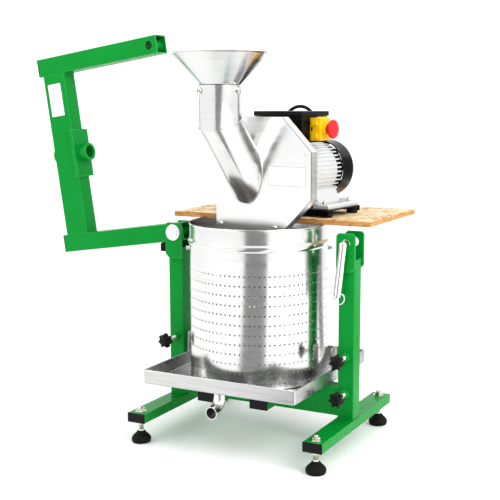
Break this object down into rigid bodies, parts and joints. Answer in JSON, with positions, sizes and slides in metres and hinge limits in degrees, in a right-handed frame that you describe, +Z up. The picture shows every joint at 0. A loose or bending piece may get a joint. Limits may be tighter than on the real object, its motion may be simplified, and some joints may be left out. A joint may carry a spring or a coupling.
{
  "type": "grape crusher destemmer",
  "caption": "Electric fruit crusher with a funnel chute on a board over a perforated press basket, in a green post frame with a swing-away press arch and drip tray.",
  "frame": {"origin": "on the floor under the centre of the machine's bounding box, with the press arch swung open", "axes": "+Z up, +X to the right from the arch's hinge post to its lock post, +Y to the back, away from the tray spout"},
  "size_m": [0.8046, 0.5264, 0.8428],
  "materials": {
    "green_paint": "glossy powder coat",
    "stainless": "polished and brushed stainless sheet",
    "zinc": "yellowish zinc plating",
    "chrome": "polished",
    "aluminium_cast": "bead-blasted die casting",
    "black_plastic": "fine texture",
    "black_steel": "satin black paint",
    "rubber": "moulded",
    "board_wood": "raw plywood, sawn edges",
    "yellow_plastic": "moulded",
    "red_plastic": "moulded",
    "green_plastic": "moulded",
    "winding": "varnished copper winding and laminations",
    "core_iron": "laminated steel"
  },
  "bodies": {
    "root": {"foot_beam_left": "green_paint", "foot_cap_left_front": "black_plastic", "foot_cap_left_rear": "black_plastic", "foot_beam_right": "green_paint", "foot_cap_right_front": "black_plastic", "foot_cap_right_rear": "black_plastic", "tray_beam": "green_paint", "bearer_cap_left": "black_plastic", "bearer_cap_right": "black_plastic", "post_left": "green_paint", "post_right": "green_paint", "hinge_pin": "chrome", "hinge_collar": "zinc", "arch_stop": "rubber", "drip_tray": "stainless", "basket": "stainless", "board": "board_wood", "housing_front": "stainless", "housing_shell": "stainless", "chute": "stainless", "funnel": "stainless", "motor_body": "aluminium_cast", "motor_flange": "aluminium_cast", "shaft_bearing": "zinc", "stator": "winding", "fan_cover": "black_steel", "base_plate": "black_steel", "rubber_mount_left_front": "rubber", "rubber_mount_left_rear": "rubber", "rubber_mount_right_front": "rubber", "rubber_mount_right_rear": "rubber", "control_box": "black_plastic", "box_lid": "black_plastic", "capacitor": "core_iron", "switch_base": "yellow_plastic", "cable_gland": "black_plastic", "power_cord": "rubber", "cord_coil": "rubber", "plug": "black_plastic"},
    "arch": {"press_arch": "green_paint", "arch_cap_lower": "black_plastic", "arch_cap_upper": "black_plastic"},
    "rotor": {"cutter_disc": "stainless", "rotor_shaft": "zinc", "rotor_core": "core_iron", "cooling_fan": "black_plastic"},
    "switch_flap_body": {"switch_flap": "yellow_plastic"},
    "stop_button_body": {"stop_button": "red_plastic"},
    "start_button_body": {"start_button": "green_plastic"},
    "clamp_knob_left_lower_body": {"clamp_knob_left_lower": "black_plastic"},
    "clamp_knob_left_upper_body": {"clamp_knob_left_upper": "black_plastic"},
    "levelling_foot_left_front_body": {"levelling_foot_left_front": "rubber"},
    "levelling_foot_left_rear_body": {"levelling_foot_left_rear": "rubber"},
    "clamp_knob_right_lower_body": {"clamp_knob_right_lower": "black_plastic"},
    "clamp_knob_right_upper_body": {"clamp_knob_right_upper": "black_plastic"},
    "levelling_foot_right_front_body": {"levelling_foot_right_front": "rubber"},
    "levelling_foot_right_rear_body": {"levelling_foot_right_rear": "rubber"},
    "lock_pin_body": {"lock_pin": "chrome"},
    "r_clip_body": {"r_clip": "chrome"}
  },
  "joints": [
    {"name": "arch_swing", "type": "hinge", "parent": "root", "child": "arch", "pos_m": [-0.04116, -0.00077, 0.425], "axis": [0, 1, 0], "range_deg": [0, 40]},
    {"name": "rotor_spin", "type": "hinge", "parent": "root", "child": "rotor", "pos_m": [0.21851, 0.00955, 0.5615], "axis": [0.1167, 0.9932, 0], "continuous": true},
    {"name": "flap_open", "type": "hinge", "parent": "root", "child": "switch_flap_body", "pos_m": [0.29113, 0.00807, 0.671], "axis": [-0.1167, -0.9932, 0], "range_deg": [0, 100]},
    {"name": "stop_push", "type": "slide", "parent": "switch_flap_body", "child": "stop_button_body", "axis": [-0.9932, 0.1167, 0], "range_m": [0, 0.004], "stiffness_N_per_m": 400},
    {"name": "start_push", "type": "slide", "parent": "root", "child": "start_button_body", "axis": [-0.9932, 0.1167, 0], "range_m": [0, 0.003], "stiffness_N_per_m": 400},
    {"name": "knob_left_lower_turn", "type": "hinge", "parent": "root", "child": "clamp_knob_left_lower_body", "pos_m": [-0.04116, -0.04077, 0.1185], "axis": [0, -1, 0], "continuous": true},
    {"name": "knob_left_upper_turn", "type": "hinge", "parent": "root", "child": "clamp_knob_left_upper_body", "pos_m": [-0.04116, -0.04077, 0.195], "axis": [0, -1, 0], "continuous": true},
    {"name": "foot_left_front_turn", "type": "hinge", "parent": "root", "child": "levelling_foot_left_front_body", "pos_m": [-0.04116, -0.16077, 0], "axis": [0, 0, 1], "continuous": true},
    {"name": "foot_left_rear_turn", "type": "hinge", "parent": "root", "child": "levelling_foot_left_rear_body", "pos_m": [-0.04116, 0.17023, 0], "axis": [0, 0, 1], "continuous": true},
    {"name": "knob_right_lower_turn", "type": "hinge", "parent": "root", "child": "clamp_knob_right_lower_body", "pos_m": [0.35884, -0.04077, 0.1185], "axis": [0, -1, 0], "continuous": true},
    {"name": "knob_right_upper_turn", "type": "hinge", "parent": "root", "child": "clamp_knob_right_upper_body", "pos_m": [0.35884, -0.04077, 0.195], "axis": [0, -1, 0], "continuous": true},
    {"name": "foot_right_front_turn", "type": "hinge", "parent": "root", "child": "levelling_foot_right_front_body", "pos_m": [0.35884, -0.16077, 0], "axis": [0, 0, 1], "continuous": true},
    {"name": "foot_right_rear_turn", "type": "hinge", "parent": "root", "child": "levelling_foot_right_rear_body", "pos_m": [0.35884, 0.17023, 0], "axis": [0, 0, 1], "continuous": true},
    {"name": "lock_pin_pull", "type": "slide", "parent": "root", "child": "lock_pin_body", "axis": [0, -1, 0], "range_m": [0, 0.02]},
    {"name": "r_clip_pull", "type": "slide", "parent": "lock_pin_body", "child": "r_clip_body", "axis": [0.9936, 0, -0.1132], "range_m": [0, 0.03]}
  ]
}
